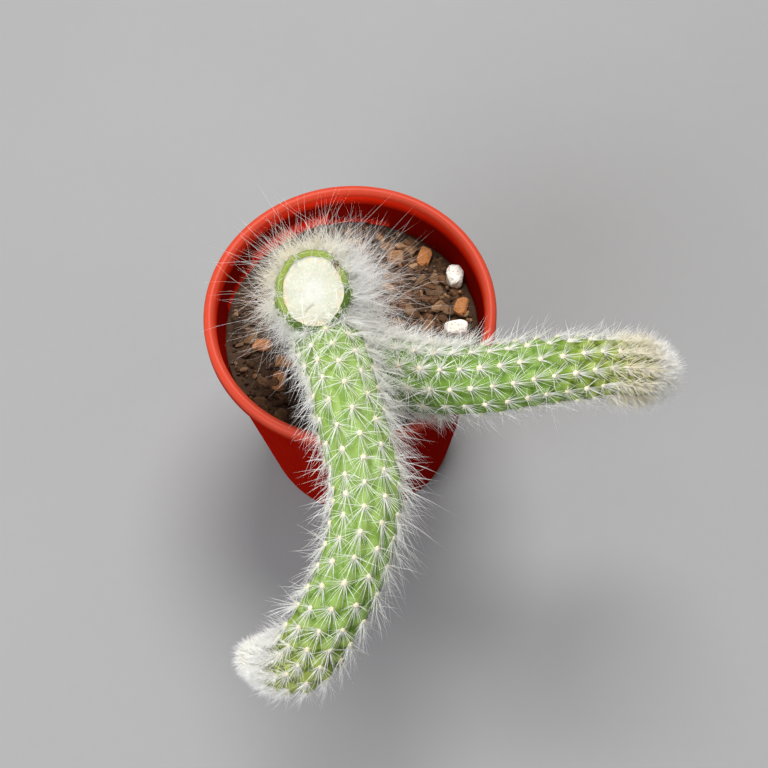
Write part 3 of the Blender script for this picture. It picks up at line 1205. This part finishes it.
def wool_piece(stem, last, size, material, slot_name, bare):
    """Felted cushions on the woolly spots, as one mesh of uneven low domes."""
    lengths, places, normal, ahead = stem.spots(stem.first_spot, last, bare)
    draw = np.random.default_rng(SEED)
    number, rings, sides = len(lengths), 5, 12
    rise = (np.linspace(0.0, math.pi / 2, rings, endpoint=False) - 0.25)[None, :, None]
    turn = (TURN * np.arange(sides) / sides)[None, :, None]
    grow = 0.45 + 0.55 * smoothstep(0.003, 0.024, stem.length - lengths) if stem.tip else np.ones(number)
    scale = size * grow * draw.uniform(0.85, 1.15, number)
    uneven = draw.uniform(0.82, 1.18, (number, rings, sides))
    flat = ahead[:, None] * np.cos(turn) * 1.15 + np.cross(normal, ahead)[:, None] * np.sin(turn)
    out = (scale[:, None, None] * uneven * np.cos(rise))[..., None] * flat[:, None]
    up = (scale[:, None, None] * 0.8 * uneven * np.sin(rise))[..., None] * normal[:, None, None]
    points = places[:, None, None] + out + up
    tops = places + normal * (0.8 * scale)[:, None]
    points = np.concatenate([points.reshape(number, rings * sides, 3), tops[:, None]], axis=1)
    faces = tube_faces(number, rings, sides)
    dress(build_mesh(f"{stem.name}_wool", points.reshape(-1, 3), faces, materials=[material]), slot_name)


def arc(centre, radius, first, last, steps):
    """Points on an arc, with its angles in degrees from the outward direction."""
    angles = [math.radians(angle) for angle in np.linspace(first, last, steps)]
    return [(centre[0] + radius * math.cos(angle), centre[1] + radius * math.sin(angle)) for angle in angles]


def wall_radius(pot, height):
    """Outer radius of the pot's tapering wall at a height."""
    return pot.foot_radius + (pot.wall_top - pot.foot_radius) * height / (pot.height - pot.lip_depth)


def pot_outline(pot):
    """The pot's half section, from the middle of its floor over the lip to the middle of its foot."""
    lip_bottom = pot.height - pot.lip_depth
    roll, corner, bend, heel = pot.lip_width / 2, 0.0006, 0.002, 0.0014
    floor_edge = wall_radius(pot, pot.floor) - pot.wall - bend
    points = [(0.0, pot.floor), (floor_edge, pot.floor)]
    points += arc((floor_edge, pot.floor + bend), bend, -90, 0, 5)[1:]
    inner_heights = np.linspace(pot.floor + 0.006, lip_bottom - 0.001, 24)
    points += [(wall_radius(pot, height) - pot.wall, height) for height in inner_heights]
    points.append((pot.lip_radius - pot.lip_width - 0.0001, pot.height - roll - 0.0008))
    points += arc((pot.lip_radius - roll, pot.height - roll), roll, 180, 0, 15)
    points.append((pot.lip_radius, lip_bottom + corner))
    points += arc((pot.lip_radius - corner, lip_bottom + corner), corner, 0, -90, 5)[1:]
    wall_top = wall_radius(pot, lip_bottom)
    points += [(wall_top + 0.0003, lip_bottom), (wall_top, lip_bottom - 0.0003)]
    points += [(wall_radius(pot, height), height) for height in np.linspace(lip_bottom - 0.004, 0.004, 20)]
    points += arc((pot.foot_radius - heel, heel), heel, -8, -90, 6)
    points += [(pot.foot_radius - 0.0045, 0.0), (pot.foot_radius - 0.0050, 0.0004)]
    return points + [(0.0052, 0.0004), (0.0048, 0.0), (0.0, 0.0)]


def make_pot(pot, material):
    """The moulded pot, turned from its outline, with drain holes cut through its floor."""
    outline = np.array(pot_outline(pot))
    reach, height = outline[1:-1, 0, None], outline[1:-1, 1, None]
    turn = TURN * np.arange(POT_STEPS) / POT_STEPS
    warp = 1 + 0.0012 * np.sin(2 * turn + 0.6)[None] * (height / pot.height) ** 3
    around = (reach * np.cos(turn) * warp, reach * np.sin(turn) * warp, np.repeat(height, POT_STEPS, axis=1))
    points = np.stack(around, axis=-1).reshape(-1, 3)
    points = np.vstack([points, [[0.0, 0.0, outline[0][1]], [0.0, 0.0, outline[-1][1]]]])
    faces = [
        grid_faces(len(reach), POT_STEPS)[:, ::-1],
        fan(POT_STEPS, 0, len(points) - 2),
        fan(POT_STEPS, (len(reach) - 1) * POT_STEPS, len(points) - 1)[:, ::-1],
    ]
    high = points[:, 2]
    wall = np.interp(high, [0, pot.height], [pot.foot_radius, pot.wall_top])
    outside = np.linalg.norm(points[:, :2], axis=1) > wall - 0.0007
    rubbed = smoothstep(pot.height - 0.0030, pot.height - 0.0004, high)
    rubbed = np.maximum(rubbed, 0.6 * smoothstep(0.0016, 0.0, high) * outside)
    dusty = np.where(outside, 0.0, smoothstep(*DUSTY_HEIGHTS, high))
    bearing = (np.arctan2(points[:, 1], points[:, 0]) / TURN) % 1.0
    shades = {"wear": np.stack([rubbed, dusty, bearing, 1.0 - outside], axis=-1)}
    piece = build_mesh("pot_body", points, faces, None, shades, [material])
    drains = bmesh.new()
    for index in range(pot.drains):
        angle = TURN * (index + 0.5) / pot.drains
        spot = Vector((math.cos(angle), math.sin(angle), 0.0)) * pot.drain_circle
        bmesh.ops.create_cone(
            drains, cap_ends=True, segments=28, radius1=pot.drain_radius, radius2=pot.drain_radius,
            depth=6 * pot.floor, matrix=Matrix.Translation(spot),
        )
    mesh = bpy.data.meshes.new("drains")
    drains.to_mesh(mesh)
    drains.free()
    cutter = link_object("drains", mesh)
    cut = piece.modifiers.new("drain holes", "BOOLEAN")
    cut.object = cutter
    cut.operation = "DIFFERENCE"
    cut.solver = "EXACT"
    graph = bpy.context.evaluated_depsgraph_get()
    finished = bpy.data.meshes.new_from_object(piece.evaluated_get(graph))
    piece.modifiers.clear()
    piece.data = finished
    bpy.data.objects.remove(cutter)
    finished.shade_smooth()
    finished.set_sharp_from_angle(angle=math.radians(40))
    dress(piece, "pot", "nursery_pot")


def ground_height(x, y, mix):
    """Height of the mix's top at a place: soft heaps and hollows, with small clods on them."""
    place = Vector((x, y, 0.3))
    heaps, clods, grit = (noise.noise(place * scale) for scale in (95.0, 420.0, 1300.0))
    return mix.top + mix.roughness * (0.75 * heaps + 0.45 * clods + 0.22 * grit)


def shaded_side(x):
    """How far a place lies to the pot's darker, damper left side."""
    return float(smoothstep(*SHADE_SPREAD, x))


def make_ground(mix, pot, material):
    """The mix's uneven top, closed by its sides and base inside the pot."""
    gap, base, waist = pot.wall + 0.00015, pot.floor + 0.0003, 0.03
    turn = TURN * np.arange(GROUND_COLUMNS) / GROUND_COLUMNS
    widths = {level: wall_radius(pot, level) - gap for level in (base, waist, mix.top)}
    rims = ((widths[base] * 0.02, base), (widths[base], base), (widths[waist], waist))
    points = [(radius * math.cos(a), radius * math.sin(a), level) for radius, level in rims for a in turn]
    shades = [(0.1, 0.6, 0.0, 1.0)] * len(points)
    for radius in widths[mix.top] * (1 - np.arange(GROUND_RINGS) / GROUND_RINGS):
        for angle in turn:
            x, y = radius * math.cos(angle), radius * math.sin(angle)
            level = ground_height(x, y, mix)
            low = smoothstep(0.0006, -0.0009, level - mix.top)
            tint = 0.25 + 0.35 * noise.noise(Vector((x, y, 4.0)) * 500.0)
            points.append((x, y, level))
            shades.append((tint, min(0.80 + 0.2 * low + 0.3 * shaded_side(x), 1.0), 0.0, 1.0))
    points += [(0.0, 0.0, ground_height(0.0, 0.0, mix)), (0.0, 0.0, base)]
    shades += [(0.2, 0.4, 0.0, 1.0), (0.1, 0.6, 0.0, 1.0)]
    total = len(rims) + GROUND_RINGS
    faces = [
        grid_faces(total, GROUND_COLUMNS),
        fan(GROUND_COLUMNS, (total - 1) * GROUND_COLUMNS, len(points) - 2),
        fan(GROUND_COLUMNS, 0, len(points) - 1)[:, ::-1],
    ]
    piece = build_mesh("mix_ground", np.array(points), faces, None, {"bit": np.array(shades)}, [material])
    dress(piece, "mix", "potting_mix")


def ball_template(subdivisions):
    """Points and triangles of a small ball, to be bent into bits of bark or stone."""
    bm = bmesh.new()
    bmesh.ops.create_icosphere(bm, subdivisions=subdivisions, radius=1.0)
    points = np.array([vertex.co for vertex in bm.verts])
    faces = np.array([[vertex.index for vertex in face.verts] for face in bm.faces])
    bm.free()
    return points, faces


def turned(draw, tilt):
    """A random turn about the vertical, tipped by up to the given angle."""
    spin = Matrix.Rotation(draw.uniform(0, TURN), 3, "Z")
    pitch = Matrix.Rotation(draw.uniform(-tilt, tilt), 3, "X")
    roll = Matrix.Rotation(draw.uniform(-tilt, tilt), 3, "Y")
    return np.array(pitch @ roll @ spin)


def open_places(number, reach, stem, draw):
    """Places spread over the mix, kept off the main stem."""
    angle = draw.uniform(0, TURN, number * 2)
    radius = reach * np.sqrt(draw.random(number * 2))
    x, y = radius * np.cos(angle), radius * np.sin(angle)
    foot = STEMS["main_stem"]["route"][1]
    clear = np.hypot(x - foot[0], y - foot[1]) > stem.main_radius + FOOT_ROOM
    return zip(x[clear][:number], y[clear][:number])


def on_mix(x, y, mix, lift):
    return np.array([x, y, ground_height(x, y, mix) + lift])


def bits_piece(name, bits, template, material):
    """Small bits as one mesh, each with a place, size, turn, ruggedness, squareness, tint and darkness."""
    points, faces = template
    all_points, all_faces, shades = [], [], []
    for number, (place, size, turn, rugged, square, tint, dark) in enumerate(bits):
        blocky = np.sign(points) * np.abs(points) ** square
        shape = blocky * rugged[:, None] * size
        all_points.append(shape @ turn.T + place)
        all_faces.append(faces + number * len(points))
        shades.append(np.tile([tint, dark, 0.0, 1.0], (len(points), 1)))
    points, faces, shades = np.vstack(all_points), [np.vstack(all_faces)], {"bit": np.vstack(shades)}
    dress(build_mesh(name, points, faces, None, shades, [material], smooth=False), "mix")


def make_bits(mix, pot, stem, bark, pumice):
    """Bark chips, crumbs and white stones lying on the mix."""
    draw = np.random.default_rng(SEED)
    reach = wall_radius(pot, mix.top) - pot.wall
    ball, grain, fine = ball_template(2), ball_template(1), ball_template(3)
    chips, crumbs, stones = [], [], []
    for x, y in open_places(mix.chips, reach - CHIP_ROOM, stem, draw):
        size = mix.chip * draw.triangular(0.18, 0.28, 0.60)
        size = size * np.array([1.0, draw.uniform(0.45, 0.85), draw.uniform(0.25, 0.5)])
        place = on_mix(x, y, mix, draw.uniform(-0.0002, 0.0007))
        tint = draw.beta(1.6, 1.5) * 0.86
        rugged = draw.uniform(0.86, 1.1, len(ball[0]))
        dark = min(0.85 * draw.beta(0.7, 1.2) + 0.6 * shaded_side(x), 1.0)
        chips.append((place, size, turned(draw, 0.7), rugged, 0.6, tint, dark))
    for x, y in FRESH_BARK:
        rugged = draw.uniform(0.86, 1.1, len(ball[0]))
        place, size = on_mix(x, y, mix, 0.0008), np.array(FRESH_SIZE)
        chips.append((place, size, turned(draw, 0.3), rugged, 0.55, draw.uniform(0.9, 1.0), 0.0))
    for x, y in open_places(mix.crumbs, reach - CRUMB_ROOM, stem, draw):
        size = draw.uniform(0.0003, 0.0009) * np.array([1.0, draw.uniform(0.5, 1.0), draw.uniform(0.5, 0.9)])
        rugged = draw.uniform(0.75, 1.15, len(grain[0]))
        tint = draw.beta(1.3, 1.8)
        dark = draw.uniform(0.0, 0.6) + 0.4 * shaded_side(x)
        crumbs.append((on_mix(x, y, mix, 0.0002), size, turned(draw, 1.2), rugged, 0.8, tint, dark))
    for place, size in STONES:
        bumps = [noise.noise(Vector(point) * 1.6 + Vector(place) * 900) for point in fine[0]]
        rugged = 1 + 0.16 * np.array(bumps)
        stones.append((np.array(place), np.array(size), np.identity(3), rugged, 0.82, 0.0, 0.0))
    bits_piece("mix_bark_chips", chips, ball, bark)
    bits_piece("mix_crumbs", crumbs, grain, bark)
    bits_piece("mix_white_stones", stones, fine, pumice)


def finish_of(name, make, settings):
    """The named material, made when it is first asked for."""
    return bpy.data.materials.get(name) or make(settings)


class CactusOperator:
    """What every building step shares."""

    bl_options = {"REGISTER", "UNDO"}

    def settings(self, context):
        scene = context.scene
        return scene.cactus_pot, scene.cactus_mix, scene.cactus_stem, scene.cactus_hair


class CACTUS_OT_pot(CactusOperator, Operator):
    """Turn the red moulded pot and cut its drain holes"""

    bl_idname = "cactus.pot"
    bl_label = "Pot"

    def execute(self, context):
        pot, _, _, _ = self.settings(context)
        make_pot(pot, plastic_material(pot))
        return {"FINISHED"}


class CACTUS_OT_mix(CactusOperator, Operator):
    """Fill the pot with bark mix and lay chips, crumbs and white stones on it"""

    bl_idname = "cactus.mix"
    bl_label = "Bark mix"

    def execute(self, context):
        pot, mix, stem, _ = self.settings(context)
        bark = bark_material(mix)
        make_ground(mix, pot, bark)
        make_bits(mix, pot, stem, bark, pumice_material(mix))
        return {"FINISHED"}


class CACTUS_OT_main_stem(CactusOperator, Operator):
    """Grow the cut main stem with its woolly spots and long hair"""

    bl_idname = "cactus.main_stem"
    bl_label = "Main stem"

    def execute(self, context):
        _, mix, settings, hair = self.settings(context)
        stem, *shoots = (Stem(name, settings) for name in STEMS)
        skin = finish_of("stem skin", skin_material, settings)
        wool = finish_of("woolly spots", wool_material, hair)
        cut_stem_skin(stem, settings.skin, [skin, rim_material(settings), pith_material(settings)])
        covered = covered_by(shoots, WOOL_ROOM, mix.top)
        size = settings.wool * MAIN_WOOL
        wool_piece(stem, stem.length, size, wool, "stem", covered)
        draw = np.random.default_rng(SEED)
        hairs = joined(
            main_hairs(stem, shoots, hair, mix, draw),
            long_hairs(stem, draw),
            felt_hairs(stem, shoots, hair, mix, draw),
            rim_tufts(stem, draw),
            fluff(stem, stem.length, MAIN_FLUFF, size, covered, draw),
        )
        spine = finish_of("hair and spines", hair_material, hair)
        hair_piece("main_stem_hair", hairs, rings=4, curl=0.09, material=spine, slot_name="stem")
        return {"FINISHED"}


class CACTUS_OT_shoots(CactusOperator, Operator):
    """Grow the front and right shoots with their knobs, woolly spots and spines"""

    bl_idname = "cactus.shoots"
    bl_label = "Shoots"

    def execute(self, context):
        _, mix, settings, hair = self.settings(context)
        main, *shoots = (Stem(name, settings) for name in STEMS)
        skin = finish_of("stem skin", skin_material, settings)
        wool = finish_of("woolly spots", wool_material, hair)
        spine = finish_of("hair and spines", hair_material, hair)

        def hidden(places):
            return main.distance(places) < main.radius

        for number, stem in enumerate(shoots):
            golden, size = stem.golden, settings.wool
            last = stem.length - 0.6 * stem.tip
            shoot_skin(stem, skin)
            wool_piece(stem, last, size, wool, "shoot", hidden)
            draw = np.random.default_rng(SEED + 1 + number)
            extra = round(OLD_FLUFF + GOLDEN_FLUFF * golden)
            ball, collar = round((1 - golden) * hair.ball), round(golden * hair.collar)
            hairs = joined(
                shoot_spines(stem, hair, mix, draw),
                fluff(stem, last, SHOOT_FLUFF, size, hidden, draw),
                fluff(stem, FUZZY_LENGTH, extra, size * FUZZ_SIZE, hidden, draw),
                tip_fur(stem, hair.tip_fur, END_FUR, END_LENGTH + GOLDEN_LENGTH * golden, 0.0, hair, draw),
                tip_fur(stem, ball, BALL_FUR, BALL_LENGTH, 0.0, hair, draw),
                tip_fur(stem, collar, COLLAR_FUR, COLLAR_LENGTH, golden, hair, draw),
            )
            hair_piece(f"{stem.name}_spines", hairs, rings=2, curl=0.012, material=spine, slot_name="shoot")
        return {"FINISHED"}


def soft_light(name, light, power, aim):
    """A round soft light that shines at the given point."""
    place, width, tint = light
    lamp = bpy.data.lights.new(name, "AREA")
    lamp.shape = "DISK"
    lamp.size = width
    lamp.energy = power
    lamp.color = tint
    made = link_object(name, lamp)
    made.location = place
    made.rotation_euler = (Vector(place) - aim).to_track_quat("Z", "Y").to_euler()


class CACTUS_OT_stage(CactusOperator, Operator):
    """Lay the pale floor, set the soft lights and place the camera"""

    bl_idname = "cactus.stage"
    bl_label = "Floor, light and camera"

    def execute(self, context):
        stage = context.scene.cactus_stage
        half = stage.floor_size
        corners = np.array([(-half, -half, 0), (half, -half, 0), (half, half, 0), (-half, half, 0)])
        floor = build_mesh("floor", corners, [[[0, 1, 2, 3]]], materials=[floor_material(stage)])
        aim = Vector(stage.camera_aim)
        soft_light("key", KEY_LIGHT, stage.key, aim)
        soft_light("fill", FILL_LIGHT, stage.fill, aim)
        world = bpy.data.worlds.new("plain surround")
        world.use_nodes = True
        back = world.node_tree.nodes["Background"]
        back.inputs["Color"].default_value = (1.0, 1.0, 1.0, 1.0)
        back.inputs["Strength"].default_value = stage.sky
        context.scene.world = world
        context.scene.view_settings.view_transform = "Standard"
        self.place_camera(context, stage, aim)
        return {"FINISHED"}

    def place_camera(self, context, stage, aim):
        high, roll = stage.camera_height, stage.camera_roll
        back = Vector((0.0, -math.cos(high), math.sin(high)))
        across = Vector((1.0, 0.0, 0.0))
        up = back.cross(across)
        turned_across = across * math.cos(roll) + up * math.sin(roll)
        turned_up = up * math.cos(roll) - across * math.sin(roll)
        lens = bpy.data.cameras.new("view")
        lens.lens = stage.lens
        lens.clip_start = 0.01
        camera = link_object("view", lens)
        camera.matrix_world = Matrix((turned_across, turned_up, back)).transposed().to_4x4()
        camera.location = aim + back * stage.camera_distance
        context.scene.camera = camera


class CACTUS_PT_parts(Panel):
    """Sizes, colours and building steps of the potted cactus"""

    bl_idname = "CACTUS_PT_parts"
    bl_label = "Potted cactus"
    bl_space_type = "VIEW_3D"
    bl_region_type = "UI"
    bl_category = "Cactus"

    def draw(self, context):
        for operator, settings_name, _ in STEPS:
            box = self.layout.box()
            box.operator(operator.bl_idname)
            settings = getattr(context.scene, settings_name)
            for key in settings.__annotations__:
                box.prop(settings, key)


# Each building step, and the settings that stand beside it in the panel
STEPS = (
    (CACTUS_OT_stage, "cactus_stage", StageSettings),
    (CACTUS_OT_pot, "cactus_pot", PotSettings),
    (CACTUS_OT_mix, "cactus_mix", MixSettings),
    (CACTUS_OT_main_stem, "cactus_stem", StemSettings),
    (CACTUS_OT_shoots, "cactus_hair", HairSettings),
)


def register():
    for operator, name, group in STEPS:
        bpy.utils.register_class(group)
        bpy.utils.register_class(operator)
        setattr(bpy.types.Scene, name, PointerProperty(type=group))
    bpy.utils.register_class(CACTUS_PT_parts)


def unregister():
    bpy.utils.unregister_class(CACTUS_PT_parts)
    for operator, name, group in reversed(STEPS):
        delattr(bpy.types.Scene, name)
        bpy.utils.unregister_class(operator)
        bpy.utils.unregister_class(group)


def main():
    register()
    for operator, _, _ in STEPS:
        family, step = operator.bl_idname.split(".")
        getattr(getattr(bpy.ops, family), step)()
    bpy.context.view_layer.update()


if __name__ == "__main__":
    main()
